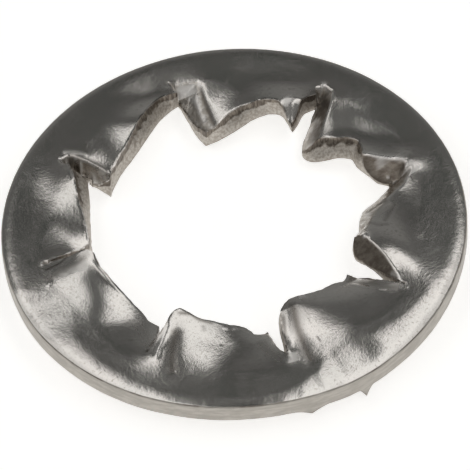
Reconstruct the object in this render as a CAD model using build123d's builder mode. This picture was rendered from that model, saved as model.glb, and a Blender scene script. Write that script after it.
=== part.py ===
from build123d import *
from math import atan2, cos, degrees, hypot, pi, radians, sin
import os

os.makedirs("parts", exist_ok=True)

# Internal-tooth lock washer for an M8 thread: one blanked and pressed piece of
# stainless sheet.  Eight teeth point into the opening and each is twisted, one
# side up and the other side down.
# Millimetres, +Z up.  Origin: middle of the ring, half way through the sheet.

# ---------------------------------------------------------------- dimensions
outer_radius = 7.50      # ring, outside
sheet = 0.70             # sheet thickness
half = sheet / 2
edge_roll = 0.14         # upper corner of the rim, rolled by the blanking
lower_break = 0.04       # lower corner of the rim
root_radius = 6.39       # corners of the flat ring between the teeth
tip_line = 4.15          # a tooth has its full twist this far from the middle
twist_power = 1.40       # growth of the twist from the root to the tip
wave_from = 6.10         # the side of a tooth starts to lift clear here ...
wave_to = 4.70           # ... and is fully lifted here
notch_top = 6.62         # where the coined end of a notch meets the upper face
reach = 0.80             # half height of the blanking outline

# Notches between the teeth: direction, and the bottom corner (radius, angle).
notches = [
    (104.5, 5.95, 105.0), (59.0, 5.95, 59.2), (15.6, 5.40, 15.4), (-30.5, 6.10, -30.4),
    (-76.0, 5.70, -76.3), (-121.0, 5.90, -121.0), (-169.8, 6.05, -169.9), (-209.7, 5.95, -209.6),
]

# Burrs: direction, distance of the foot, width, depth, top and tip heights.
burrs = [
    (-74.5, 7.33, 0.95, 0.28, -0.20, -0.62),
    (-59.8, 7.36, 0.50, 0.24, -0.20, -0.84),
    (63.0, 4.68, 0.34, 0.24, 0.02, -0.46),
]

# Teeth, one after each notch going clockwise from above:
#   lift and swing  height change of the tip and its rise to either side
#   low, tip, high  free edge from the lowered side over the tip to the raised
#                   side: (radius, angle) on the upper face and on the lower face
#   fold            coined facet on the lowered side: its upper line from
#                   (radius, angle) to (radius, angle), and its height in the notch
#   end             where the raised side starts on the ring (radius, angle)
#   slope           sloping shear face of the raised side: two points of the
#                   upper line and one of the lower line
teeth = [
    dict(name="B", lift=0.02, swing=0.50,
         low=[(5.09, 103.2, 5.09, 103.2), (4.68, 102.0, 4.68, 102.0)],
         tip=[(4.30, 98.6, 4.28, 99.6), (4.32, 94.9, 4.27, 95.2), (4.57, 90.2, 4.35, 89.8),
              (4.90, 84.1, 4.56, 84.3), (5.02, 80.4, 4.81, 80.5), (5.15, 77.6, 5.01, 77.0),
              (5.22, 74.0, 5.10, 73.4), (5.15, 69.3, 4.95, 68.7), (4.91, 65.4, 4.54, 63.6)],
         high=[(5.40, 63.9, 4.95, 61.4)],
         fold=(6.25, 97.9, 4.34, 94.0, -0.25), end=(6.20, 62.4)),
    dict(name="C", lift=0.02, swing=0.50,
         low=[(4.95, 58.0, 4.95, 58.0), (4.54, 57.4, 4.54, 57.4), (4.22, 55.2, 4.22, 55.2)],
         tip=[(4.22, 52.6, 4.14, 52.6), (4.56, 48.0, 4.22, 48.0), (4.86, 42.2, 4.44, 41.6),
              (5.13, 39.0, 4.80, 37.2), (5.22, 36.3, 4.88, 34.6), (5.10, 32.4, 4.78, 30.2)],
         high=[(4.81, 24.2, 4.81, 24.2), (4.94, 19.4, 4.94, 19.4), (5.14, 16.9, 5.14, 16.9)],
         fold=(6.40, 56.0, 4.46, 49.6, -0.25), end=(6.18, 18.4),
         slope=(5.31, 24.7, 5.94, 19.8, 4.96, 18.5)),
    dict(name="D", lift=0.02, swing=0.52,
         low=[(5.02, 12.2, 5.02, 12.2), (4.60, 8.8, 4.60, 8.8), (4.28, 7.6, 4.28, 7.6)],
         tip=[(4.10, 3.6, 4.07, 3.4), (4.05, -1.8, 4.01, -1.8), (4.12, -7.0, 4.00, -7.0),
              (3.92, -11.3, 3.92, -11.3), (3.92, -18.3, 3.92, -18.3)],
         high=[(4.11, -23.1, 4.11, -23.1), (4.43, -25.0, 4.43, -25.0), (4.78, -26.6, 4.78, -26.6),
               (5.07, -27.6, 5.07, -27.6), (5.60, -29.2, 5.60, -29.2)],
         fold=(6.30, 10.4, 4.08, 0.6, -0.18), end=(6.30, -27.6),
         slope=(4.32, -14.0, 5.64, -26.3, 4.43, -25.0)),
    dict(name="E", lift=0.00, swing=0.50,
         low=[(5.34, -30.7, 5.34, -30.7), (4.90, -29.9, 4.90, -29.9), (4.50, -29.8, 4.50, -29.8),
              (4.06, -31.2, 4.06, -31.2)],
         tip=[(4.17, -36.4, 4.05, -36.4), (4.02, -40.4, 3.88, -40.4), (3.97, -49.7, 3.82, -49.7),
              (3.92, -60.8, 3.78, -61.0), (3.98, -67.1, 3.84, -67.6), (4.12, -70.4, 3.99, -71.1)],
         high=[(4.35, -73.2, 4.25, -74.0), (4.63, -74.5, 4.53, -75.0), (5.27, -75.6, 5.22, -75.9)],
         fold=(6.30, -33.8, 4.04, -38.6, -0.15), end=(6.20, -73.0)),
    dict(name="F", lift=0.00, swing=0.50,
         low=[(5.42, -77.5, 5.42, -77.5), (4.71, -78.6, 4.71, -78.6), (4.30, -79.2, 4.30, -79.2)],
         tip=[(4.42, -80.2, 4.36, -80.2), (4.49, -82.1, 4.40, -82.1), (4.51, -85.2, 4.41, -85.2),
              (4.27, -86.8, 4.15, -86.8), (4.16, -88.8, 4.03, -88.8), (4.14, -96.5, 4.00, -96.5),
              (4.15, -101.5, 4.00, -101.8), (4.22, -109.0, 4.07, -109.5), (4.18, -114.2, 4.03, -115.0),
              (4.20, -117.1, 4.09, -118.1)],
         high=[(4.40, -118.6, 4.32, -119.4), (4.91, -119.5, 4.86, -120.1)],
         fold=(6.30, -80.0, 4.25, -85.4, -0.18), end=(6.20, -118.0)),
    dict(name="G", lift=0.00, swing=0.48,
         low=[(5.10, -122.2, 5.10, -122.2), (4.56, -124.8, 4.56, -124.8)],
         tip=[(4.62, -129.4, 4.55, -129.6), (4.52, -133.0, 4.41, -133.2), (4.49, -137.7, 4.35, -137.7),
              (4.49, -147.0, 4.34, -147.0), (4.57, -156.0, 4.42, -156.4), (4.66, -161.8, 4.52, -162.6),
              (4.69, -166.6, 4.58, -167.4)],
         high=[(4.84, -168.2, 4.76, -168.7), (5.40, -169.2, 5.36, -169.5)],
         fold=(6.30, -126.4, 4.60, -131.4, -0.22), end=(6.32, -166.8)),
    dict(name="H", lift=0.02, swing=0.48,
         low=[(5.40, -172.4, 5.40, -172.4), (4.80, -175.2, 4.80, -175.2)],
         tip=[(4.66, -177.6, 4.62, -177.6), (4.71, -180.5, 4.62, -182.0), (4.76, -185.0, 4.64, -186.0),
              (4.88, -189.2, 4.72, -190.6), (5.10, -195.1, 4.86, -197.0), (5.28, -199.4, 4.98, -201.4)],
         high=[(5.46, -203.4, 5.16, -205.2)],
         fold=(6.32, -175.0, 4.72, -181.6, -0.22), end=(6.20, -206.6)),
    dict(name="A", lift=0.02, swing=0.46,
         low=[(5.15, -209.9, 5.15, -209.9), (4.90, -210.6, 4.90, -210.6)],
         tip=[(4.66, -212.6, 4.62, -211.8), (4.72, -220.4, 4.63, -219.6), (4.84, -226.4, 4.68, -226.4),
              (5.16, -234.7, 4.82, -233.4), (5.55, -241.9, 5.17, -242.0), (5.86, -247.4, 5.60, -248.4)],
         high=[(5.96, -250.4, 5.80, -252.0)],
         fold=(6.30, -214.4, 4.72, -218.0, -0.20), end=(6.20, -251.6)),
]
for i, tooth in enumerate(teeth):
    before, after = notches[i], notches[(i + 1) % 8]
    turn = 360 if after[0] > before[0] else 0
    tooth["low_notch"] = before
    tooth["high_notch"] = (after[0] - turn, after[1], after[2] - turn)
    tooth["middle"] = (before[0] + after[0] - turn) / 2
    tooth["spread"] = (before[0] - after[0] + turn) / 2
    tooth["root"] = root_radius * cos(radians(tooth["spread"]))


def xy(radius, angle):
    """Plan position of a point given by radius and direction."""
    return radius * cos(radians(angle)), radius * sin(radians(angle))


def rise(tooth, x, y):
    """Height of the middle of the sheet at a plan position of a tooth."""
    m = radians(tooth["middle"])
    along = x * cos(m) + y * sin(m)
    across = -x * sin(m) + y * cos(m)
    grow = min(1.0, max(0.0, (tooth["root"] - along) / (tooth["root"] - tip_line))) ** twist_power
    side = degrees(atan2(across, along)) / tooth["spread"]
    free = min(1.0, max(0.0, (wave_from - hypot(x, y)) / (wave_from - wave_to)))
    free = free * free * (3 - 2 * free)
    held = 0.9 * sin(pi * side)
    loose = 1.1 * side
    return grow * (tooth["lift"] - tooth["swing"] * ((1 - free) * held + free * loose))


def upper(tooth, radius, angle):
    """Point of the upper face."""
    x, y = xy(radius, angle)
    return Vector(x, y, rise(tooth, x, y) + half)


def lower(tooth, radius, angle):
    """Point of the lower face."""
    x, y = xy(radius, angle)
    return Vector(x, y, rise(tooth, x, y) - half)


def plane_through(a, b, c):
    """Plane through three points, its normal pointing up."""
    normal = (b - a).cross(c - a).normalized()
    return Plane(origin=a, x_dir=(b - a).normalized(), z_dir=normal if normal.Z > 0 else normal * -1)


def drop_on(plane, point):
    """The point of a plane straight above or below a given point, in the plane's own axes."""
    o, n = plane.origin, plane.z_dir
    z = o.Z - (n.X * (point.X - o.X) + n.Y * (point.Y - o.Y)) / n.Z
    q = plane.to_local_coords(Vector(point.X, point.Y, z))
    return q.X, q.Y


def meet(plane, a, b):
    """Where the line through two points meets a plane, in the plane's own axes."""
    p, q = plane.to_local_coords(a), plane.to_local_coords(b)
    k = -p.Z / (q.Z - p.Z)
    return p.X + (q.X - p.X) * k, p.Y + (q.Y - p.Y) * k


# ---------------------------------------------------------------- the teeth
tooth_parts = []
for tooth in teeth:
    m = tooth["middle"]
    forward = Vector(cos(radians(m)), sin(radians(m)), 0)
    sideways = Vector(-sin(radians(m)), cos(radians(m)), 0)
    before, after = tooth["low_notch"], tooth["high_notch"]
    edge = [(before[1], before[2], before[1], before[2])] + tooth["low"] + tooth["tip"]
    edge += tooth["high"] + [(after[1], after[2], after[1], after[2])]

    with BuildPart() as body:
        # twisted strip: sections across the tooth, flat where it leaves the ring
        for step in (0.0, 0.12, 0.30, 0.50, 0.72, 0.94, 1.10):
            along = tooth["root"] - step * (tooth["root"] - tip_line)
            section = Plane(origin=forward * along, x_dir=sideways, z_dir=forward * -1)
            up = 1 if section.y_dir.Z > 0 else -1
            top, bottom = [], []
            for j in range(9):
                across = 2.7 * (j - 4) / 4
                x = forward.X * along + sideways.X * across
                y = forward.Y * along + sideways.Y * across
                z = rise(tooth, x, y)
                d = 0.01
                tilt = (rise(tooth, x + sideways.X * d, y + sideways.Y * d) - z) / d
                thick = half * (1 + tilt * tilt) ** 0.5
                top.append((across, up * (z + thick)))
                bottom.append((across, up * (z - thick)))
            with BuildSketch(section):
                with BuildLine():
                    Spline(*bottom)
                    Line(bottom[-1], top[-1])
                    Spline(*top[::-1])
                    Line(top[0], bottom[0])
                make_face()
        loft()

        # blanked free edge of the tooth, between two planes that follow its tilt
        tilt = 0.40 * tooth["swing"]
        normal = Vector(sideways.X * tilt, sideways.Y * tilt, 1)
        for height in (-reach, reach):
            cover = Plane(origin=(0, 0, height), x_dir=forward, z_dir=normal)
            points = [meet(cover, lower(tooth, rl, al), upper(tooth, ru, au)) for ru, au, rl, al in edge]
            first = Vector(*xy(7.0, before[0]), 0)
            last = Vector(*xy(7.0, after[0]), 0)
            with BuildSketch(cover):
                with BuildLine():
                    Polyline(drop_on(cover, first), *points, drop_on(cover, last), close=True)
                make_face()
        loft(ruled=True, mode=Mode.INTERSECT)

        # coined facet on the lowered side and sloping shear face on the raised side
        r0, a0, r1, a1, z_notch = tooth["fold"]
        cuts = [(upper(tooth, r0, a0), upper(tooth, r1, a1), Vector(*xy(before[1], before[2]), z_notch))]
        if "slope" in tooth:
            r0, a0, r1, a1, r2, a2 = tooth["slope"]
            cuts.append((upper(tooth, r0, a0), upper(tooth, r1, a1), lower(tooth, r2, a2)))
        for p0, p1, p2 in cuts:
            face_plane = plane_through(p0, p1, p2)
            line = Vector(p1.X - p0.X, p1.Y - p0.Y, 0).normalized()
            away = Vector(p2.X - p0.X, p2.Y - p0.Y, 0)
            away = (away - line * away.dot(line)).normalized()
            outline = (p0 - line * 0.4, p1 + line * 0.4, p1 + line * 0.4 + away * 2.6,
                       p0 - line * 0.4 + away * 2.6)
            with BuildSketch(face_plane):
                with BuildLine():
                    Polyline(*[drop_on(face_plane, p) for p in outline], close=True)
                make_face()
            extrude(amount=2.0, dir=(0, 0, 1), mode=Mode.SUBTRACT)
    print(tooth["name"], body.part.is_valid, len(body.part.solids()), round(body.part.volume, 3))
    tooth_parts.append(body.part)

# ---------------------------------------------------------------- the ring
with BuildPart() as ring:
    with BuildSketch(Plane.XZ):
        with BuildLine():
            Polyline((5.0, half), (5.0, -half), (outer_radius - lower_break, -half),
                     (outer_radius, -half + lower_break), (outer_radius, half - edge_roll))
            RadiusArc((outer_radius, half - edge_roll), (outer_radius - edge_roll, half), -edge_roll)
            Line((outer_radius - edge_roll, half), (5.0, half))
        make_face()
    revolve(axis=Axis.Z)
    # opening with one straight side for the root of each tooth
    with BuildSketch(Plane.XY.offset(-half)):
        with BuildLine():
            Polyline(*[xy(root_radius, n[0]) for n in notches], close=True)
        make_face()
    extrude(amount=sheet, mode=Mode.SUBTRACT)

# ---------------------------------------------------------------- the washer
with BuildPart() as lock_washer:
    add(ring.part)
    for body in tooth_parts:
        add(body)
    # coined end of each notch: two facets falling from the ring to its bottom
    for i, tooth in enumerate(teeth):
        neighbour = teeth[i - 1]
        angle, r_end, a_end = tooth["low_notch"]
        outer = Vector(*xy(notch_top, angle), half)
        inner = Vector(*xy(r_end, a_end), tooth["fold"][4])
        fold_start = upper(tooth, tooth["fold"][0], tooth["fold"][1])
        fold_end = upper(tooth, tooth["fold"][2], tooth["fold"][3])
        raised = upper(neighbour, *neighbour["end"])
        on_tooth = fold_start + (fold_end - fold_start) * 0.3
        for plane_points, outline in (
                ((fold_start, outer, inner), (fold_start, outer, inner)),
                ((raised, outer, inner), (raised, outer, inner)),
                ((fold_start, fold_end, inner), (fold_start, on_tooth, inner))):
            face_plane = plane_through(*plane_points)
            with BuildSketch(face_plane):
                with BuildLine():
                    Polyline(*[drop_on(face_plane, p) for p in outline], close=True)
                make_face()
            extrude(amount=2.0, dir=(0, 0, 1), mode=Mode.SUBTRACT)
    # burrs left by the blanking: two under the rim and one under a tooth corner
    for angle, radius, width, depth, z_top, z_tip in burrs:
        for z, k in ((z_top, 1.0), (z_top + (z_tip - z_top) * 0.55, 0.55), (z_tip, 0.16)):
            shift = (1.0 - k) * depth * 0.35
            with BuildSketch(Plane(origin=(*xy(radius + shift, angle), z),
                                   x_dir=(-sin(radians(angle)), cos(radians(angle)), 0))):
                Ellipse(width * k / 2, depth * k / 2)
        loft()

lock_washer.part.label = "lock_washer"
print(lock_washer.part.is_valid, len(lock_washer.part.solids()), lock_washer.part.volume, lock_washer.part.bounding_box())
export_step(lock_washer.part, "parts/lock_washer.step")
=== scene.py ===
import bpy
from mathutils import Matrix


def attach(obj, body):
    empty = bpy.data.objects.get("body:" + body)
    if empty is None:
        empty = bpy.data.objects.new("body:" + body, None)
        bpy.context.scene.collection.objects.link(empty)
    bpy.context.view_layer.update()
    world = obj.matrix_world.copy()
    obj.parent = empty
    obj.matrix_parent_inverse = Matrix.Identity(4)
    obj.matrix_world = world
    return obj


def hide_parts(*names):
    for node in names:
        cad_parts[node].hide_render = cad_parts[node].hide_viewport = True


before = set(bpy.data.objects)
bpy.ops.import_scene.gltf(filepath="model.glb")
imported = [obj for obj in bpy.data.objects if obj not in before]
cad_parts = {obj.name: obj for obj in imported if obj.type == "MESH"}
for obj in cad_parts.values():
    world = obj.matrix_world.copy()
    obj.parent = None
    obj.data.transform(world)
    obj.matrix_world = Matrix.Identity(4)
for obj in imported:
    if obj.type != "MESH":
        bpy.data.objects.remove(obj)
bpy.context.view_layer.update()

import math

import bmesh
import bpy
import numpy as np
from mathutils import Matrix, Vector
from mathutils.geometry import delaunay_2d_cdt

# ---------------------------------------------------------------- SHAPE BEGIN
# All shape numbers are millimetres and degrees, in the frame of the CAD part.
OUTER = 7.50
HALF = 0.35
ROOT_R = 6.39
TIP_LINE = 4.15

# notches: direction, corner above (radius, direction), height of the metal there,
# corner below (radius, direction), outer end of the crumpled metal, end of the raised side
NOTCHES = [
    (104.5, 5.95, 105.0, -0.22, 5.92, 105.0, 6.43, 104.1, 6.48, 106.2),
    (59.0, 5.95, 59.2, -0.20, 5.90, 59.0, 6.42, 59.0, 6.22, 60.8),
    (15.6, 5.40, 15.4, -0.12, 5.36, 15.2, 6.05, 15.2, 6.10, 16.7),
    (-30.5, 6.10, -30.4, -0.15, 6.05, -30.4, 6.36, -30.5, 6.24, -29.0),
    (-76.0, 5.62, -76.3, -0.18, 5.60, -76.3, 6.02, -76.3, 5.86, -75.2),
    (-121.0, 5.90, -121.0, -0.22, 5.88, -121.0, 6.14, -120.6, 6.02, -119.6),
    (-169.8, 6.05, -169.9, -0.22, 6.00, -169.9, 6.32, -169.6, 6.20, -168.9),
    (-209.7, 5.95, -209.4, -0.20, 5.24, -208.2, 6.36, -210.0, 6.20, -208.6),
]

# teeth, one after each notch going clockwise; points are (radius, direction) on the
# upper edge and (radius, direction) on the lower edge
TEETH = [
    dict(name="B", lift=0.02, swing=0.50,
         edge=[(5.09, 103.2, 5.09, 103.2), (4.68, 102.0, 4.68, 102.0),
               (4.30, 98.6, 4.28, 99.6), (4.32, 94.9, 4.27, 95.2), (4.57, 90.2, 4.35, 89.8),
               (4.90, 84.1, 4.56, 84.3), (5.02, 80.4, 4.81, 80.5), (5.15, 77.6, 5.01, 77.0),
               (5.24, 74.0, 5.16, 73.4), (5.20, 70.2, 5.16, 69.4), (5.02, 67.0, 4.98, 65.9),
               (4.80, 63.9, 4.72, 63.0), (5.06, 63.0, 5.06, 62.4), (5.46, 62.4, 5.46, 61.6)],
         fold=(6.18, 97.5, 4.22, 94.5)),
    dict(name="C", lift=0.02, swing=0.50,
         edge=[(4.95, 58.0, 4.95, 58.0), (4.54, 57.4, 4.54, 57.4), (4.22, 55.2, 4.22, 55.2),
               (4.22, 52.6, 4.08, 52.0), (4.56, 48.0, 4.08, 47.6), (4.86, 42.2, 4.36, 42.2),
               (5.13, 39.0, 4.72, 38.2), (5.22, 36.3, 4.88, 35.2), (5.10, 32.4, 4.78, 30.8),
               (4.81, 24.2, 4.81, 24.2), (4.94, 19.4, 4.94, 19.4), (5.14, 16.9, 5.14, 16.9)],
         fold=(6.30, 55.4, 4.48, 48.6), slope=(5.31, 24.7, 5.94, 19.8, 4.96, 18.5, 0.24)),
    dict(name="D", lift=0.02, swing=0.52,
         edge=[(5.02, 12.2, 5.02, 12.2), (4.60, 8.8, 4.60, 8.8), (4.28, 7.6, 4.28, 7.6),
               (4.12, 3.6, 4.10, 3.4), (4.03, -1.8, 4.00, -1.8), (4.06, -5.4, 4.02, -5.4),
               (4.22, -8.6, 4.14, -8.6), (4.04, -11.6, 4.00, -11.8), (3.96, -18.8, 3.93, -18.8),
               (4.11, -23.1, 4.11, -23.1), (4.43, -25.0, 4.43, -25.0), (4.78, -26.6, 4.78, -26.6),
               (5.07, -27.6, 5.07, -27.6), (5.60, -29.2, 5.60, -29.2)],
         fold=(5.70, 11.2, 4.40, -7.5), slope=(4.34, -16.6, 5.60, -27.2, 4.43, -25.0, 0.42)),
    dict(name="E", lift=0.00, swing=0.50,
         edge=[(5.34, -30.7, 5.34, -30.7), (4.90, -29.9, 4.90, -29.9), (4.50, -29.8, 4.50, -29.8),
               (4.06, -31.2, 4.06, -31.2),
               (4.17, -36.4, 4.05, -36.4), (4.02, -40.4, 3.88, -40.4), (3.97, -49.7, 3.82, -49.7),
               (3.92, -60.8, 3.78, -61.0), (3.98, -67.1, 3.84, -67.6), (4.12, -70.4, 3.99, -71.1),
               (4.35, -73.2, 4.25, -74.0), (4.63, -74.5, 4.53, -75.0), (5.27, -75.6, 5.22, -75.9)],
         fold=(6.20, -31.9, 4.12, -40.0)),
    dict(name="F", lift=0.00, swing=0.50,
         edge=[(5.42, -77.5, 5.42, -77.5), (4.71, -78.6, 4.71, -78.6), (4.30, -79.2, 4.30, -79.2),
               (4.38, -80.2, 4.33, -80.2), (4.44, -82.1, 4.36, -82.1), (4.44, -85.2, 4.35, -85.2),
               (4.27, -86.8, 4.15, -86.8), (4.16, -88.8, 4.03, -88.8), (4.14, -96.5, 4.00, -96.5),
               (4.15, -101.5, 4.00, -101.8), (4.22, -109.0, 4.07, -109.5), (4.18, -114.2, 4.03, -115.0),
               (4.20, -117.1, 4.09, -118.1), (4.40, -118.6, 4.32, -119.4), (4.91, -119.5, 4.86, -120.1)],
         fold=(6.02, -78.4, 4.34, -85.8)),
    dict(name="G", lift=0.00, swing=0.48,
         edge=[(5.10, -122.2, 5.10, -122.2), (4.56, -124.8, 4.56, -124.8),
               (4.62, -129.4, 4.55, -129.6), (4.52, -133.0, 4.41, -133.2), (4.49, -137.7, 4.35, -137.7),
               (4.49, -147.0, 4.34, -147.0), (4.57, -156.0, 4.42, -156.4), (4.66, -161.8, 4.52, -162.6),
               (4.69, -166.6, 4.58, -167.4), (4.84, -168.2, 4.76, -168.7), (5.40, -169.2, 5.36, -169.5)],
         fold=(6.08, -122.6, 4.62, -133.8)),
    dict(name="H", lift=0.02, swing=0.48,
         edge=[(5.40, -172.4, 5.40, -172.4), (4.80, -175.2, 4.80, -175.2),
               (4.66, -177.6, 4.62, -177.6), (4.71, -180.5, 4.62, -182.0), (4.76, -185.0, 4.64, -186.0),
               (4.88, -189.2, 4.70, -190.6), (5.10, -195.1, 4.80, -196.6), (5.28, -199.4, 4.92, -201.2),
               (5.46, -203.4, 5.08, -205.0)],
         fold=(6.22, -170.4, 4.66, -176.0)),
    dict(name="A", lift=0.02, swing=0.46,
         edge=[(5.15, -209.9, 5.15, -209.9), (4.90, -210.6, 4.90, -210.6),
               (4.66, -212.6, 4.56, -210.6), (4.72, -220.4, 4.63, -219.6), (4.84, -226.4, 4.68, -226.4),
               (5.16, -234.7, 4.82, -233.4), (5.55, -241.9, 5.17, -242.0), (5.86, -247.4, 5.60, -248.4),
               (5.96, -250.4, 5.80, -252.0)],
         fold=(6.14, -212.6, 4.66, -214.2)),
]
for i, tooth in enumerate(TEETH):
    before, after = NOTCHES[i], NOTCHES[(i + 1) % 8]
    turn = 360 if after[0] > before[0] else 0
    tooth["low"] = before
    tooth["high"] = (after[0] - turn, after[1], after[2] - turn, after[3])
    tooth["middle"] = (before[0] + after[0] - turn) / 2
    tooth["spread"] = (before[0] - after[0] + turn) / 2
    tooth["root"] = ROOT_R * math.cos(math.radians(tooth["spread"]))

# corner of B bent into the opening: tip (radius, direction), reach, width of the bend,
# drop of the sheet, further drop of its upper face
HANG = (4.74, 63.2, 0.78, 0.74, 0.42, 0.40)
# outer margin of the sheet, rolled down by the blanking: direction, radius where it starts, drop at the rim
MARGIN = [(-180, 6.95, 0.02), (-163, 6.95, 0.02), (-155, 6.08, 0.10), (-149, 6.22, 0.10), (-140, 6.75, 0.07),
          (-130, 6.92, 0.06), (-118, 7.05, 0.04), (-108, 7.20, 0.01), (-88, 7.20, 0.01), (-82, 7.12, 0.03), (-77, 7.02, 0.06),
          (-71, 6.72, 0.11), (-64, 5.95, 0.17), (-58, 5.85, 0.18), (-50, 6.45, 0.15), (-38, 6.72, 0.12), (-28, 6.85, 0.07),
          (-20, 7.00, 0.04), (-8, 7.05, 0.01), (20, 7.05, 0.00), (90, 7.00, 0.00), (150, 6.95, 0.02)]
# swells and dents of the sheet, pushed up by the twist of the teeth:
# radius, direction, size along the radius, size across, turn, height
SWELLS = [
    (6.05, 111, 0.60, 0.90, 0, -0.11),     # ring behind A and B, dished
    (6.30, 76, 0.60, 1.10, 0, -0.06),
    (4.85, 143.5, 0.70, 0.60, 0, 0.08),    # A, corner at the eighth notch
    (5.35, 122, 0.60, 0.60, 0, 0.09),      # A, edge above the opening
    (5.35, 33, 0.50, 0.80, 0, -0.10),      # C dips towards its edge
    (5.60, 54, 0.70, 0.55, 0, 0.09),
    (6.10, 19, 0.34, 0.34, 0, 0.08),       # raised end of the third notch
    (5.22, -17.0, 1.10, 0.40, -40, 0.10),  # crest along the raised side of D
    (5.80, -114, 0.50, 0.60, 0, 0.08),     # F, towards its raised side
    (5.30, -95, 0.90, 0.45, 0, -0.05),
    (5.60, -161, 0.70, 0.50, 0, 0.07),     # G, raised side
    (5.65, -151.5, 0.50, 0.38, 0, 0.04),
    (5.10, -146, 0.50, 0.45, 0, 0.065),
    (5.75, 154, 0.50, 0.60, 0, 0.09),      # H, raised side
    (6.50, 168, 0.40, 0.80, 0, -0.03),
    (4.30, -60, 0.50, 0.60, 0, 0.06),      # E, raised side
    (7.50, 8, 0.80, 2.20, 0, 0.025),        # rim right of the third notch
]
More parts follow.
